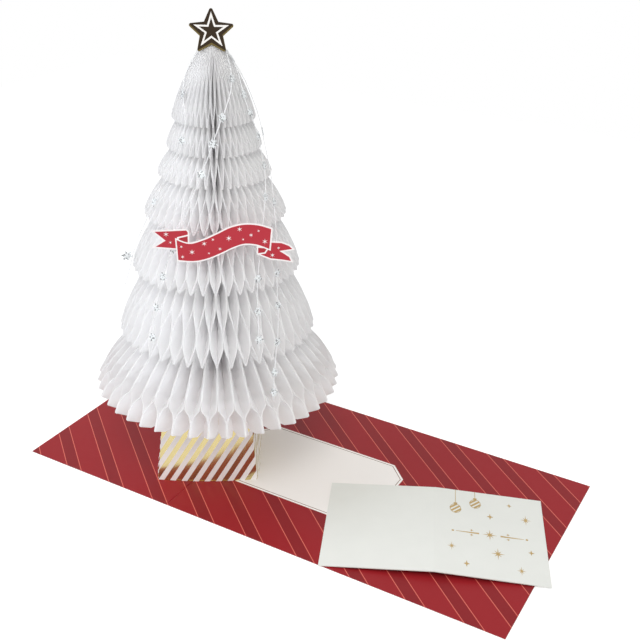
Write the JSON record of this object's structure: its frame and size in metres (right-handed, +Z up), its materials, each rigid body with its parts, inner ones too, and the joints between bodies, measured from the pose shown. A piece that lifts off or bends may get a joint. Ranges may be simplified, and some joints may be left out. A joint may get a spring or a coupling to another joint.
{
  "type": "pop up card",
  "caption": "Opened pop-up greeting card with a tiered white honeycomb paper tree on a striped box, a star at its tip, a ribbon banner, thread garlands and a loose folded message card.",
  "frame": {"origin": "middle of the opened card's underside", "axes": "+X along the card from the tree towards the message card, +Y from the front edge to the back, +Z up"},
  "size_m": [0.2342, 0.1194, 0.2003],
  "materials": {
    "printed_card": "coated, low sheen",
    "striped_card": "white card with gold foil stripes",
    "honeycomb_paper": "matt",
    "foil_card": "dark gold foil",
    "ribbon_card": "coated, low sheen",
    "message_paper": "matt with gold print",
    "thread": "clear filament",
    "sequin_film": "silver film"
  },
  "bodies": {
    "root": {"base_card": "printed_card", "stand_box": "striped_card", "honeycomb_tree": "honeycomb_paper", "star_topper": "foil_card", "ribbon_banner": "ribbon_card", "message_card": "message_paper", "garland_thread_1": "thread", "garland_thread_2": "thread", "garland_thread_3": "thread", "garland_thread_4": "thread", "garland_sequins_1": "sequin_film", "garland_sequins_2": "sequin_film", "garland_sequins_3": "sequin_film", "garland_sequins_4": "sequin_film"}
  },
  "joints": []
}
